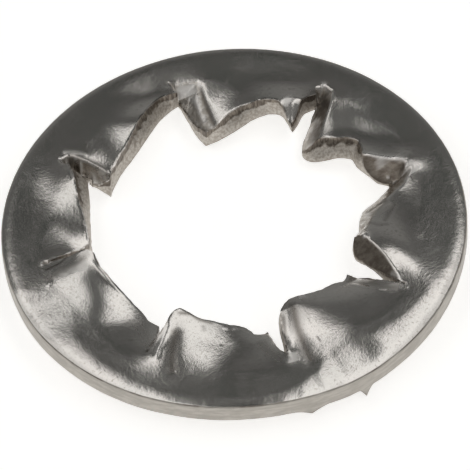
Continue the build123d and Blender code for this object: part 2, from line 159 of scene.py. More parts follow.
# ridges, grooves and marks: width, height, tone (darker to lighter: dirt and rubbing, and also painted shade in
# hollows and folds and painted highlights on ridges and edges), coarseness, line
STROKES = [
    # B, first notch: rubbed ridge with a painted highlight on its crest, painted shade in the hollow beside it,
    # coined patch
    (0.05, 0.03, 0.8, 0.3, [(5.78, 99.8), (5.29, 99.5), (4.81, 99.3), (4.48, 98.9)]),
    (0.06, -0.03, -0.85, 0.2, [(6.16, 97.3), (5.59, 97.0), (5.11, 96.5), (4.61, 95.6), (4.28, 94.5)]),
    (0.03, 0.012, 0.6, 0, [(6.24, 97.4), (5.72, 96.4), (5.30, 95.8)]),
    (0.26, 0, 1.2, 0.8, [(6.21, 101.6), (5.89, 102.2)]),
    (0.09, 0, -0.6, 0.1, [(6.54, 105.3), (5.40, 108.1)]),
    (0.2, 0, -0.45, 0.3, [(5.45, 102.8), (4.46, 101.3), (4.00, 100.1)]),
    (0.1, 0.02, 0.1, 0.7, [(4.70, 98.7), (4.14, 96.7)]),
    # B, corner bent into the opening
    (0.16, 0, -0.45, 0.2, [(6.21, 60.4), (5.42, 59.8), (5.05, 61.2), (4.52, 60.4)]),
    (0.12, 0, 0.9, 1, [(5.42, 68.4), (5.28, 66.1)]),
    # C, notch side: sheared face, scraped spots
    (0.2, 0, -0.55, 0.3, [(6.30, 59.1), (5.89, 56.4), (5.34, 54.8), (4.68, 51.7), (4.23, 50.8)]),
    (0.07, 0.012, 0.8, 0.3, [(6.41, 59.9), (6.49, 58.3)]),
    (0.05, 0.03, 0.6, 0.3, [(6.06, 59.1), (5.83, 57.7)]),
    (0.04, 0.03, 0.5, 0.3, [(5.39, 55.0), (5.07, 52.4)]),
    (0.03, 0.008, 0.5, 0, [(6.31, 55.4), (5.91, 52.7)]),
    (0.1, 0, 0.15, 0, [(5.74, 52.4), (5.31, 50.6)]),
    # C, far side: sheared face and a painted highlight along the edge above it
    (0.16, 0, -0.45, 0.2, [(4.87, 27.7), (4.86, 24.7), (4.87, 21.7)]),
    (0.16, 0, 0.4, 0, [(5.28, 24.0), (5.27, 20.9)]),
    (0.04, 0.02, 0.7, 0, [(5.28, 17.7), (5.39, 17.0)]),
    (0.12, 0, -0.45, 0.2, [(4.82, 22.1), (5.06, 17.6), (5.38, 14.8)]),
    (0.14, 0, -0.3, 0.2, [(5.76, 18.9), (5.77, 15.9)]),
    (0.06, 0.02, 0.7, 0, [(5.06, 28.4), (5.32, 24.8), (5.69, 22.1), (5.90, 20.4)]),
    (0.09, 0.01, 0.3, 0.7, [(5.83, 21.8), (6.04, 18.8)]),
    (0.2, 0, 0.4, 0.5, [(6.01, 18.1), (6.17, 13.7)]),
    # D, notch side: bevel and crushed ridges
    (0.1, 0.006, 0.1, 0.5, [(5.32, 10.2), (5.70, 11.7), (5.94, 12.9)]),
    (0.05, -0.02, -0.35, 0.2, [(4.27, 2.9), (4.62, 4.5), (5.05, 6.4)]),
    (0.025, 0.008, 0.3, 0, [(4.68, 3.6), (4.88, 4.2)]),
    (0.06, -0.012, -0.35, 0.1, [(4.83, -6.5), (5.03, -0.7), (5.27, 3.9)]),
    (0.06, -0.006, -0.3, 0.1, [(4.32, -6.5), (4.65, -8.7), (5.03, -7.5)]),
    (0.16, 0.006, -0.22, 1, [(4.38, -1.8), (4.72, 1.7), (5.12, 5.0)]),
    # D, far side: loop of burr, scraped lines on the sheared face
    (0.035, 0.03, 0.8, 0.2, [(4.30, -17.5), (4.29, -14.4), (4.39, -14.4), (4.47, -17.4)]),
    (0.05, 0, 0.45, 0.2, [(5.48, -28.2), (5.95, -29.5)]),
    (0.025, 0.006, 0.7, 0, [(6.18, -30.5), (6.30, -31.6)]),
    (0.14, 0, -0.35, 0.1, [(4.21, -19.6), (4.59, -22.1), (5.18, -25.9)]),
    # E, notch side: broken scratches
    (0.035, 0.014, 0.5, 0.2, [(4.48, -36.5), (4.84, -36.2), (5.14, -36.1)]),
    (0.03, 0.008, 0.4, 0.2, [(5.41, -35.6), (5.71, -34.4)]),
    (0.12, 0, -0.4, 0.5, [(4.20, -36.1), (4.81, -33.3), (5.56, -33.6), (6.10, -32.4)]),
    # F, notch side: brown rubbed corner
    (0.14, 0, -0.35, 0.3, [(4.75, -84.2), (5.40, -81.2), (5.97, -78.4)]),
    # E, far side: rolled edge, painted shade in the hollow and a painted highlight on the ridge along it
    (0.11, -0.008, -0.75, 0.1, [(4.08, -66.3), (4.69, -68.9), (5.27, -70.0), (5.83, -70.4), (6.49, -70.6)]),
    (0.05, 0.008, 0.25, 0.3, [(4.39, -70.6), (5.03, -73.0), (5.66, -74.5)]),
    (0.06, 0, -0.6, 0.1, [(4.48, -72.8), (5.15, -75.0), (5.86, -76.8)]),
    (0.1, 0.01, 0.5, 0.8, [(5.72, -74.7), (6.10, -75.3)]),
    (0.05, 0.01, 0.5, 0.5, [(4.02, -62.7), (4.03, -58.6)]),
    (0.02, -0.006, -0.45, 0, [(5.50, -65.3), (5.72, -65.0)]),
    # F, far side: painted highlight along the rolled streak, painted shade in the hollow, marks
    (0.07, 0.03, 0.5, 0.1, [(4.73, -117.4), (5.19, -117.8), (5.75, -117.8), (6.12, -117.1)]),
    (0.14, -0.016, -0.75, 0.1, [(4.78, -115.1), (5.44, -113.8), (5.96, -112.3), (6.51, -110.6)]),
    (0.04, 0.01, 0.8, 0, [(4.26, -117.3), (4.19, -115.9)]),
    (0.035, 0, -0.7, 0.1, [(4.42, -117.3), (4.23, -112.1), (4.29, -107.6), (4.26, -101.3)]),
    (0.03, 0.008, 0.5, 0.2, [(4.33, -97.9), (4.29, -95.8)]),
    (0.03, 0.008, 0.5, 0.2, [(4.31, -94.2), (4.27, -91.7)]),
    (0.02, -0.006, -0.5, 0, [(4.98, -98.4), (4.96, -97.3)]),
    (0.05, 0, -0.2, 0.4, [(4.43, -106.3), (4.65, -104.5)]),
    (0.02, 0.006, 0.6, 0, [(6.31, -110.3), (6.29, -109.7)]),
    # G, notch side: brown rubbed slope, rough spot
    (0.2, 0, -0.3, 0.3, [(4.89, -133.7), (5.25, -126.1), (5.82, -120.2)]),
    # H and G, seventh notch
    (0.05, 0.018, 0.5, 0.8, [(6.37, -169.6), (6.04, -169.9), (5.77, -170.5)]),
    (0.03, 0, -0.7, 0, [(6.39, -166.5), (5.76, -167.8), (4.75, -174.4)]),
    (0.1, 0, -0.5, 0.2, [(6.49, -162.8), (5.85, -164.5), (5.32, -165.2), (4.87, -165.4)]),
    (0.07, 0.015, 0.2, 0.3, [(6.36, -161.8), (6.26, -161.0)]),
    (0.13, 0, 0.15, 0.7, [(6.00, -163.0), (5.23, -162.7), (4.90, -162.1)]),
    (0.03, 0.01, 0.6, 0, [(4.89, -164.7), (4.73, -159.2), (4.61, -150.3), (4.55, -142.7)]),
    (0.04, 0, -0.5, 0, [(4.84, -161.7), (4.76, -156.5), (4.68, -150.3)]),
    # H and A, eighth notch: crushed lumps, painted shade in the fold at the root of the notch, painted highlight
    # along the fine edge
    (0.035, 0.05, 0.6, 0.2, [(5.71, 152.4), (5.47, 157.3)]),
    (0.035, 0.05, 0.6, 0.2, [(5.73, 147.4), (5.43, 153.7)]),
    (0.03, 0.04, 0.5, 0.2, [(5.29, 159.5), (5.30, 156.1)]),
    (0.03, -0.03, -0.6, 0, [(5.80, 148.4), (5.40, 156.3)]),
    (0.06, -0.01, -0.45, 0.1, [(6.28, 147.6), (5.78, 146.5), (5.37, 145.7), (4.90, 145.4), (4.69, 145.8)]),
    (0.05, 0.01, 0.3, 0.7, [(6.42, 147.3), (6.04, 145.5), (5.61, 144.3)]),
    (0.07, -0.04, -0.6, 0, [(6.16, 149.2), (5.92, 148.2)]),
    (0.024, 0.012, 0.9, 0, [(5.36, 159.6), (5.06, 164.9), (4.84, 171.1), (4.70, 179.7), (4.67, -175.7)]),
    (0.06, 0.02, 0.5, 0.7, [(5.27, 147.9), (4.70, 155.1)]),
    (0.03, 0.02, 0.6, 0.3, [(5.07, 147.4), (4.82, 146.2)]),
    (0.1, 0, -0.5, 0.2, [(4.63, 155.0), (4.23, 156.6)]),
    (0.04, 0.008, 0.4, 0.6, [(4.60, 143.8), (4.65, 138.1), (4.72, 133.5)]),
]


def xy(radius, angle):
    a = math.radians(angle)
    return np.array((radius * math.cos(a), radius * math.sin(a)))


def smooth(t):
    t = np.clip(t, 0.0, 1.0)
    return t * t * (3 - 2 * t)


def twist(x, y):
    """Height of the middle of the sheet: the twist of the teeth."""
    a = np.degrees(np.arctan2(y, x))
    r = np.hypot(x, y)
    z = np.zeros_like(r)
    for tooth in TEETH:
        d = (a - tooth["middle"] + 180) % 360 - 180
        inside = np.abs(d) <= tooth["spread"]
        m = math.radians(tooth["middle"])
        along = x * math.cos(m) + y * math.sin(m)
        start = tooth["root"] + 0.22
        t = np.clip((start - along) / (start - TIP_LINE), 0.0, 1.0)
        grow = t ** 1.62
        side = d / tooth["spread"]
        free = smooth((6.10 - r) / 1.40)
        part = grow * (tooth["lift"] - tooth["swing"] * ((1 - free) * 0.9 * np.sin(np.pi * side) + free * 1.1 * side))
        z = np.where(inside, part, z)
    return z


def margin(x, y):
    """Fall of the sheet towards the rim."""
    a = np.degrees(np.arctan2(y, x))
    rows = np.array(MARGIN + [(MARGIN[0][0] + 360, *MARGIN[0][1:])], float)
    k = np.clip(np.searchsorted(rows[:, 0], a, side="right") - 1, 0, len(rows) - 2)
    t = (a - rows[k, 0]) / (rows[k + 1, 0] - rows[k, 0])
    t = t * t * (3 - 2 * t)
    start = rows[k, 1] + (rows[k + 1, 1] - rows[k, 1]) * t
    fall = rows[k, 2] + (rows[k + 1, 2] - rows[k, 2]) * t
    return fall * np.clip((np.hypot(x, y) - start) / (OUTER - start), 0, 1) ** 1.6


def swells(x, y):
    z = np.zeros_like(x)
    for r0, a0, along, across, turn, up in SWELLS:
        cx, cy = xy(r0, a0)
        b = math.radians(a0 + turn)
        u = (x - cx) * math.cos(b) + (y - cy) * math.sin(b)
        v = -(x - cx) * math.sin(b) + (y - cy) * math.cos(b)
        z = z + up * np.exp(-0.5 * ((u / along) ** 2 + (v / across) ** 2))
    return z


def middle(x, y):
    """Height of the middle of the sheet."""
    return twist(x, y) - margin(x, y) + swells(x, y) - bent(x, y) * HANG[4]


def bent(x, y):
    """Share of the way down of the corner of B that hangs into the opening."""
    cx, cy = xy(HANG[0], HANG[1])
    d = np.hypot(x - cx, y - cy)
    return smooth((HANG[2] - d) / HANG[3])


def plane_of(p, q, s):
    """Coefficients (a, b, c) of z = a x + b y + c through three points."""
    return np.linalg.solve(np.array([[p[0], p[1], 1.0], [q[0], q[1], 1.0], [s[0], s[1], 1.0]]),
                           np.array([p[2], q[2], s[2]]))


def side_of(p, q, x, y):
    """Signed distance of points from the line p-q, positive on its left."""
    d = np.hypot(q[0] - p[0], q[1] - p[1])
    return ((q[0] - p[0]) * (y - p[1]) - (q[1] - p[1]) * (x - p[0])) / d


def up_at(radius, angle):
    x, y = xy(radius, angle)
    return np.array((x, y, float(middle(np.array([x]), np.array([y]))[0]) + HALF))


def facets():
    """Planes of the coined facets: for each notch three planes and their sectors."""
    out = []
    for i, tooth in enumerate(TEETH):
        other = TEETH[i - 1]
        angle, r_in, a_in, z_in = NOTCHES[i][:4]
        base = up_at(*NOTCHES[i][6:8])
        inner = np.array((*xy(r_in, a_in), z_in))
        r0, a0, r1, a1 = tooth["fold"]
        s0, s1 = up_at(r0, a0), up_at(r1, a1)
        raised = up_at(*NOTCHES[i][8:10])
        item = dict(inner=inner, outer=base, start=s0, stop=s1, raised=raised, index=i,
                    fold=plane_of(s0, s1, inner), web=plane_of(s0, base, inner),
                    lip=plane_of(raised, base, inner))
        out.append(item)
    return out


def soft_min(a, b, k):
    h = np.clip(0.5 + 0.5 * (b - a) / k, 0.0, 1.0)
    return b + (a - b) * h - k * h * (1 - h)


FACETS = None
PLAIN = (3, 4, 5, 6)      # notches whose lowered tooth keeps a square edge


def upper(x, y, round_off=True):
    """Height of the upper face, how much of it is coined facet and how much is sheared face."""
    global FACETS
    if FACETS is None:
        FACETS = facets()
    z = middle(x, y) + HALF - bent(x, y) * HANG[5]
    coined = np.zeros_like(z)
    cut = np.zeros_like(z)
    for f in FACETS:
        cx, cy = f["inner"][0], f["inner"][1]
        near = np.hypot(x - cx, y - cy) < 2.9
        if not near.any():
            continue
        X, Y, Z = x[near], y[near], z[near]
        # sides of the four lines that meet in the bottom corner
        d_raised = -side_of(f["inner"], f["raised"], X, Y)     # positive: towards the lowered tooth
        d_outer = -side_of(f["inner"], f["outer"], X, Y)
        d_start = -side_of(f["inner"], f["start"], X, Y)
        w = 0.09
        k_outer = smooth(0.5 + d_outer / (2 * w))
        k_start = smooth(0.5 + d_start / (2 * w))
        lip = f["lip"] @ np.array((X, Y, np.ones_like(X)))
        web = f["web"] @ np.array((X, Y, np.ones_like(X)))
        fold = f["fold"] @ np.array((X, Y, np.ones_like(X)))
        plane = lip * (1 - k_outer) + web * k_outer
        plane = plane * (1 - k_start) + fold * k_start
        # behind the corner (towards the opening) only the fold of the lowered tooth counts
        tooth = TEETH[f["index"]]
        a = np.degrees(np.arctan2(Y, X))
        d = (a - tooth["middle"] + 180) % 360 - 180
        own = np.abs(d) <= tooth["spread"] + 0.4
        behind = np.hypot(X, Y) < np.hypot(cx, cy)
        plane = np.where(behind, fold, plane)
        use = np.where(behind, np.where(own, 1.0, 0.0), smooth((d_raised + 0.01) / 0.05))
        # a facet ends with the lowered half of its tooth
        use = use * np.where(own & (d < -0.35 * tooth["spread"]), 0.0, 1.0)
        if f["index"] in PLAIN:
            use = use * (1 - k_start) * np.where(behind, 0.0, 1.0) * (f["index"] == 6)
        low = soft_min(Z, plane, 0.065)
        low = np.maximum(low, Z - HALF - 0.19)
        newz = Z + (low - Z) * use
        coined[near] = np.maximum(coined[near], smooth((Z - newz) / 0.05))
        z[near] = newz
    for tooth in TEETH:
        if "slope" not in tooth:
            continue
        r0, a0, r1, a1, r2, a2, reach = tooth["slope"]
        p0, p1 = up_at(r0, a0), up_at(r1, a1)
        p2 = up_at(r2, a2) - np.array((0, 0, 2 * HALF))
        pl = plane_of(p0, p1, p2)
        a = np.degrees(np.arctan2(y, x))
        d = (a - tooth["middle"] + 180) % 360 - 180
        own = (np.abs(d) <= tooth["spread"] + 0.5) & (d < 0)
        length = np.hypot(p1[0] - p0[0], p1[1] - p0[1])
        along = ((x - p0[0]) * (p1[0] - p0[0]) + (y - p0[1]) * (p1[1] - p0[1])) / length
        ends = smooth((length + reach - along) / 0.30)
        low = pl @ np.array((x, y, np.ones_like(x)))
        newz = np.where(own, z + (soft_min(z, low, 0.04) - z) * ends, z)
        cut = np.maximum(cut, np.where(own, smooth((z - newz) / 0.06), 0.0))
        z = newz
    r = np.hypot(x, y)
    if round_off:
        z = z - 0.05 * np.clip((r - 7.18) / 0.32, 0, 1) ** 2.0
    return z, coined, cut


def lower(x, y):
    return middle(x, y) - HALF


def stroke_fields(x, y):
    """Ridges, grooves and lines painted darker and lighter (dirt and rubbing, also painted shade in hollows and
    painted highlights on ridges and edges): height, tone and roughness at points.
    """
    dz, tone, rough = np.zeros_like(x), np.zeros_like(x), np.zeros_like(x)
    near = np.full(x.shape, 9.0)
    for width, up, shade, coarse, line in STROKES:
        p = np.array([xy(r, a) for r, a in line])
        best = np.full(x.shape, 9.0)
        along = np.zeros_like(x)
        seg = np.hypot(*(p[1:] - p[:-1]).T)
        total = seg.sum()
        done = 0.0
        for a, b, s in zip(p[:-1], p[1:], seg):
            t = np.clip(((x - a[0]) * (b[0] - a[0]) + (y - a[1]) * (b[1] - a[1])) / (s * s + 1e-12), 0, 1)
            d = np.hypot(x - a[0] - t * (b[0] - a[0]), y - a[1] - t * (b[1] - a[1]))
            closer = d < best
            best = np.where(closer, d, best)
            along = np.where(closer, (done + t * s) / total, along)
            done += s
        w = np.exp(-0.5 * (best / width) ** 2) * smooth(np.minimum(along, 1 - along) / 0.12 * 0.8 + 0.2)
        dz += up * w
        tone += shade * w
        rough += coarse * w
        near = np.minimum(near, best - 2.0 * width)
    return dz, np.clip(tone, -1, 1), np.clip(rough, 0, 1), near
# ---------------------------------------------------------------- SHAPE END

# ---------------------------------------------------------------- noise
_rng = np.random.RandomState(11)
_LATTICE = _rng.rand(32, 32, 32)


def noise(x, y, z, scale):
    """Smooth value noise between -1 and 1; scale is the size of its lumps."""
    p = [np.asarray(c, float) / scale for c in (x, y, z)]
    i = [np.floor(c).astype(int) for c in p]
    f = [c - k for c, k in zip(p, i)]
    f = [c * c * (3 - 2 * c) for c in f]
    out = 0.0
    for a in (0, 1):
        for b in (0, 1):
            for c in (0, 1):
                w = ((f[0] if a else 1 - f[0]) * (f[1] if b else 1 - f[1]) * (f[2] if c else 1 - f[2]))
                out = out + w * _LATTICE[(i[0] + a) % 32, (i[1] + b) % 32, (i[2] + c) % 32]
    return out * 2 - 1


# ---------------------------------------------------------------- outlines
def control_points():
    top, bottom = [], []
    for i, tooth in enumerate(TEETH):
        n = NOTCHES[i]
        top.append(xy(n[1], n[2]))
        bottom.append(xy(n[4], n[5]))
        for ru, au, rl, al in tooth["edge"]:
            top.append(xy(ru, au))
            bottom.append(xy(rl, al))
    return np.array(top), np.array(bottom)


def hermite(points, counts, corner=52.0):
    """Closed curve through the points, straight into sharp corners."""
    n = len(points)
    tangent = np.zeros_like(points)
    for i in range(n):
        a, b, c = points[i - 1], points[i], points[(i + 1) % n]
        u, v = b - a, c - b
        lu, lv = np.hypot(*u), np.hypot(*v)
        if lu < 1e-6 or lv < 1e-6:
            continue
        bend = math.degrees(math.acos(np.clip(u @ v / (lu * lv), -1, 1)))
        if bend < corner:
            tangent[i] = (u / lu * lv + v / lv * lu) / (lu + lv)
    out = []
    for i in range(n):
        p, q = points[i], points[(i + 1) % n]
        length = np.hypot(*(q - p))
        m0, m1 = tangent[i] * length, tangent[(i + 1) % n] * length
        t = (np.arange(counts[i]) / counts[i])[:, None]
        out.append((2 * t ** 3 - 3 * t ** 2 + 1) * p + (t ** 3 - 2 * t ** 2 + t) * m0
                   + (-2 * t ** 3 + 3 * t ** 2) * q + (t ** 3 - t ** 2) * m1)
    return np.concatenate(out)


def blur_loop(points, sigma):
    k = int(4 * sigma) + 1
    w = np.exp(-0.5 * (np.arange(-k, k + 1) / sigma) ** 2)
    w /= w.sum()
    out = np.zeros_like(points)
    for d, wd in zip(range(-k, k + 1), w):
        out += wd * np.roll(points, -d, axis=0)
    return out


STEP = 0.036
EDGE_ROLL = 0.010
ctop, cbot = control_points()
counts = []
for i in range(len(ctop)):
    j = (i + 1) % len(ctop)
    counts.append(max(2, int(math.ceil(max(np.hypot(*(ctop[j] - ctop[i])), np.hypot(*(cbot[j] - cbot[i]))) / STEP))))
edge_top = blur_loop(hermite(ctop, counts), 1.25)
edge_bot = blur_loop(hermite(cbot, counts), 1.25)
N_EDGE = len(edge_top)
# torn edge: a little unevenness along the sheared outline
run = np.arange(N_EDGE) * STEP
nrm_dir = np.roll(edge_top, -1, axis=0) - np.roll(edge_top, 1, axis=0)
nrm_dir = np.stack([-nrm_dir[:, 1], nrm_dir[:, 0]], 1)
nrm_dir /= np.linalg.norm(nrm_dir, axis=1, keepdims=True) + 1e-9
ragged_t = 0.012 * noise(edge_top[:, 0], edge_top[:, 1], 3.1, 0.12) + 0.010 * noise(edge_top[:, 0], edge_top[:, 1], 7.7, 0.3)
ragged_b = 0.012 * noise(edge_bot[:, 0], edge_bot[:, 1], 13.1, 0.14) + 0.014 * noise(edge_bot[:, 0], edge_bot[:, 1], 17.7, 0.35)
edge_top = edge_top + nrm_dir * ragged_t[:, None]
edge_bot = edge_bot + nrm_dir * ragged_b[:, None]
# outline runs clockwise, seen from above: the metal lies on its left
area = 0.5 * np.sum(edge_top[:, 0] * np.roll(edge_top[:, 1], -1) - np.roll(edge_top[:, 0], -1) * edge_top[:, 1])
inward = -1.0 if area > 0 else 1.0      # sign that turns nrm_dir towards the metal


def inside_loop(px, py, loop):
    c = np.zeros(px.shape, bool)
    x1, y1 = loop[:, 0], loop[:, 1]
    x2, y2 = np.roll(x1, -1), np.roll(y1, -1)
    for a, b, c2, d in zip(x1, y1, x2, y2):
        if b == d:
            continue
        lo, hi = (b, d) if b < d else (d, b)
        s = (py >= lo) & (py < hi)
        if s.any():
            k = px[s] < (c2 - a) * (py[s] - b) / (d - b) + a
            c[s] ^= k
    return c


def loop_distance(px, py, loop):
    """Distance of points to a closed polyline."""
    out = np.full(px.shape, 9.0)
    a = loop
    b = np.roll(loop, -1, axis=0)
    ab = b - a
    ll = (ab ** 2).sum(1) + 1e-12
    # coarse search with every eighth point, then the exact distance to the segments near it
    step = 8
    coarse = loop[::step]
    for s in range(0, len(px), 4000):
        X, Y = px[s:s + 4000], py[s:s + 4000]
        d2 = (X[:, None] - coarse[None, :, 0]) ** 2 + (Y[:, None] - coarse[None, :, 1]) ** 2
        best = np.argpartition(d2, 3, axis=1)[:, :3] * step
        m = np.full(len(X), 81.0)
        for col in range(best.shape[1]):
            for k in range(-step, step + 1):
                j = (best[:, col] + k) % len(loop)
                t = np.clip(((X - a[j, 0]) * ab[j, 0] + (Y - a[j, 1]) * ab[j, 1]) / ll[j], 0, 1)
                q = (X - a[j, 0] - t * ab[j, 0]) ** 2 + (Y - a[j, 1] - t * ab[j, 1]) ** 2
                m = np.minimum(m, q)
        out[s:s + 4000] = np.sqrt(m)
    return out


# ---------------------------------------------------------------- upper and lower skins
def skin(loop, rim_radius, n_rim, rows, spacing, fine_band, fine_spacing, wanted=None):
    """Plan points and triangles between the outline and the rim circle."""
    cand = []
    n = np.roll(loop, -1, axis=0) - np.roll(loop, 1, axis=0)
    n = np.stack([-n[:, 1], n[:, 0]], 1)
    n /= np.linalg.norm(n, axis=1, keepdims=True) + 1e-9
    n = n * inward
    for d in rows:
        p = loop + n * d
        dd = loop_distance(p[:, 0], p[:, 1], loop)
        p = p[dd > d * 0.93]
        cand.append(p)
    edge_rows = np.concatenate(cand) if cand else np.zeros((0, 2))
    rings = []
    for d in (0.035, 0.075, 0.125, 0.19):
        a = np.arange(n_rim) * 2 * math.pi / n_rim + (math.pi / n_rim if len(rings) % 2 else 0)
        rings.append(np.stack([(rim_radius - d) * np.cos(a), (rim_radius - d) * np.sin(a)], 1))
    rings = np.concatenate(rings)
    grids = []
    for h, band in ((spacing, "wide"), (fine_spacing, "fine")):
        ys = np.arange(-7.6, 7.6, h * 0.866)
        xs = np.arange(-7.6, 7.6, h)
        X, Y = np.meshgrid(xs, ys)
        X = X + (np.arange(len(ys)) % 2)[:, None] * 0.5 * h
        X, Y = X.ravel(), Y.ravel()
        r = np.hypot(X, Y)
        ok = (r < rim_radius - 0.24) & (r > 3.6)
        X, Y = X[ok], Y[ok]
        ok = ~inside_loop(X, Y, loop)
        X, Y = X[ok], Y[ok]
        d = loop_distance(X, Y, loop)
        last = rows[-1] if len(rows) else 0.0
        detail = wanted(X, Y, d) if wanted else d <= fine_band
        if band == "wide":
            ok = ~detail & (d > last + 0.45 * h)
        else:
            ok = detail & (d > last + 0.55 * h)
        grids.append(np.stack([X[ok], Y[ok]], 1))
    ang = np.arange(n_rim) * 2 * math.pi / n_rim
    rim = np.stack([rim_radius * np.cos(ang), rim_radius * np.sin(ang)], 1)
    pts = np.concatenate([loop, rim, rings, edge_rows] + grids)
    nl = len(loop)
    edges = [(k, (k + 1) % nl) for k in range(nl)] + [(nl + k, nl + (k + 1) % n_rim) for k in range(n_rim)]
    v, e, f, ov, oe, of_ = delaunay_2d_cdt([Vector(p) for p in pts], edges, [], 0, 1e-6)
    v = np.array([tuple(q) for q in v])
    f = np.array([tuple(t) for t in f if len(t) == 3])
    # where each input point went
    back = -np.ones(len(pts), int)
    for new, olds in enumerate(ov):
        for o in olds:
            back[o] = new
    c = v[f].mean(1)
    keep = ~inside_loop(c[:, 0], c[:, 1], loop) & (np.hypot(c[:, 0], c[:, 1]) < rim_radius)
    f = f[keep]
    p0, p1, p2 = v[f[:, 0]], v[f[:, 1]], v[f[:, 2]]
    area2 = (p1[:, 0] - p0[:, 0]) * (p2[:, 1] - p0[:, 1]) - (p1[:, 1] - p0[:, 1]) * (p2[:, 0] - p0[:, 0])
    flip = area2 < 0
    f[flip] = f[flip][:, ::-1]
    f = f[np.abs(area2) > 1e-9]
    return v, f, back[:nl], back[nl:nl + n_rim]


N_RIM = 1000
R_TOP = OUTER - 0.05
R_BOT = OUTER - 0.045


def fine_here(x, y, d):
    """Where the upper face needs close points: at creases, facets and small marks."""
    h = 0.03
    c0 = sum(upper(x, y)[1:])
    c1 = sum(upper(x + h, y)[1:]) + sum(upper(x - h, y)[1:]) + sum(upper(x, y + h)[1:]) + sum(upper(x, y - h)[1:])
    near = stroke_fields(x, y)[3]
    return (d < 0.22) | (c0 + c1 > 0.01) | (near < 0.03)


vt, ft, loop_t, rim_t = skin(edge_top, R_TOP, N_RIM, (0.026, 0.056, 0.095, 0.14), 0.095, 0.30, 0.046, fine_here)
vb, fb, loop_b, rim_b = skin(edge_bot, R_BOT, N_RIM, (0.035, 0.09), 0.16, 0.25, 0.09)

# heights of the upper skin
zt, coined, cut_t = upper(vt[:, 0], vt[:, 1])
dt = loop_distance(vt[:, 0], vt[:, 1], edge_top)
dt[loop_t] = 0.0
roll = np.clip(1 - dt / 0.075, 0, 1)
zt = zt - EDGE_ROLL * roll ** 2.0
rough = 0.55 * noise(vt[:, 0], vt[:, 1], zt, 0.10) + 0.45 * noise(vt[:, 0], vt[:, 1], zt + 5, 0.055)
zt = zt + 0.009 * np.maximum(coined, 0.8 * cut_t) * rough
dz, tone_t, rough_t, _ = stroke_fields(vt[:, 0], vt[:, 1])
zt = zt + dz + 0.007 * rough_t * (noise(vt[:, 0], vt[:, 1], 0.0 * zt + 3.3, 0.13) + 0.5 * rough)
zt = zt + 0.0014 * noise(vt[:, 0], vt[:, 1], 0.4, 0.35) + 0.0010 * noise(vt[:, 0], vt[:, 1], 2.4, 0.16)

zb = lower(vb[:, 0], vb[:, 1])
db = loop_distance(vb[:, 0], vb[:, 1], edge_bot)
db[loop_b] = 0.0
rb = np.hypot(vb[:, 0], vb[:, 1])
# keep the metal at least this thick under the coined facets
zt_at_bottom = upper(vb[:, 0], vb[:, 1])[0]
zb = np.minimum(zb, zt_at_bottom - 0.13)
zb = zb + 0.004 * noise(vb[:, 0], vb[:, 1], 9.4, 0.3)

verts = [np.column_stack([vt, zt]), np.column_stack([vb, zb])]
faces = [ft, fb[:, ::-1] + len(vt)]
zone = [np.zeros(len(ft), int), np.zeros(len(fb), int)]
down = [np.zeros(len(vt)), np.ones(len(vb))]
offset = len(vt) + len(vb)

# ---------------------------------------------------------------- sheared walls of the teeth
# share of the wall's height, share of the way from the upper to the lower outline
WALL = [(0.04, 0.01), (0.11, 0.05), (0.20, 0.13), (0.29, 0.23), (0.39, 0.38), (0.50, 0.54),
        (0.61, 0.68), (0.72, 0.80), (0.83, 0.90), (0.93, 0.97)]
T3 = verts[0][loop_t]
B3 = verts[1][loop_b]
columns = [np.arange(N_EDGE)]
row_index = [loop_t.copy()]
for h, k in WALL:
    plan = T3[:, :2] + (B3[:, :2] - T3[:, :2]) * k
    z = T3[:, 2] + (B3[:, 2] - T3[:, 2]) * h
    amp = 0.016 * math.sin(math.pi * h) ** 0.7
    # rolled upper part: marks run down the wall; fracture below it: grainy
    if h < 0.36:
        bump = noise(run, 0.0 * run + 31.0, z * 0.15, 0.07) * 0.8
    else:
        bump = 0.7 * noise(plan[:, 0], plan[:, 1], z, 0.09) + 0.5 * noise(plan[:, 0], plan[:, 1], z + 4, 0.045)
    thick = np.clip((T3[:, 2] - B3[:, 2]) / 0.5, 0.15, 1)
    plan = plan - nrm_dir * inward * (amp * thick * bump)[:, None]
    verts.append(np.column_stack([plan, z]))
    down.append(np.full(N_EDGE, h))
    row_index.append(offset + np.arange(N_EDGE))
    offset += N_EDGE
row_index.append(len(vt) + loop_b)
for r in range(len(row_index) - 1):
    a, b = row_index[r], row_index[r + 1]
    a2, b2 = np.roll(a, -1), np.roll(b, -1)
    if inward < 0:
        t1 = np.stack([a, a2, b], 1)
        t2 = np.stack([a2, b2, b], 1)
    else:
        t1 = np.stack([a, b, a2], 1)
        t2 = np.stack([a2, b, b2], 1)
    faces += [t1, t2]
    zone += [np.full(len(t1), 1)] * 2

# ---------------------------------------------------------------- rim
ang = np.arange(N_RIM) * 2 * math.pi / N_RIM
deg = np.degrees(ang)
ztop = verts[0][rim_t][:, 2]
zbot = verts[1][rim_b][:, 2]
# burrs hanging from the lower edge: direction, half width, drop, push outwards
BURRS = [(-74.5, 4.2, 0.26, -0.02), (-59.8, 2.0, 0.46, -0.03)]
drop = np.zeros(N_RIM)
push = np.zeros(N_RIM)
for a0, w, d, o in BURRS:
    t = np.abs((deg - a0 + 180) % 360 - 180) / w
    drop = np.maximum(drop, d * np.clip(1 - t, 0, 1) ** 1.3)
RIM = [(0.03, 0.022, 0), (0.10, 0.008, 0), (0.24, 0.0, 0), (0.40, 0.0, 0), (0.56, 0.0, 0),
       (0.72, 0.0, 0.1), (0.87, 0.002, 0.4), (0.97, 0.014, 0.8)]
row_index = [rim_t.copy()]
for h, back, hang in RIM:
    r = (OUTER - back) * np.ones(N_RIM)
    z = ztop + (zbot - ztop) * h
    bump = (0.5 * noise(deg * 0.13 * 0.35, 0 * deg, z * 1.0, 0.06) + 0.5 * noise(np.cos(ang) * r, np.sin(ang) * r, z, 0.12))
    r = r - 0.004 * (1 + bump)
    z = z - drop * hang
    verts.append(np.column_stack([r * np.cos(ang), r * np.sin(ang), z]))
    down.append(np.full(N_RIM, h))
    row_index.append(offset + np.arange(N_RIM))
    offset += N_RIM
row_index.append(len(vt) + rim_b)
verts[1][rim_b, 2] = zbot - drop
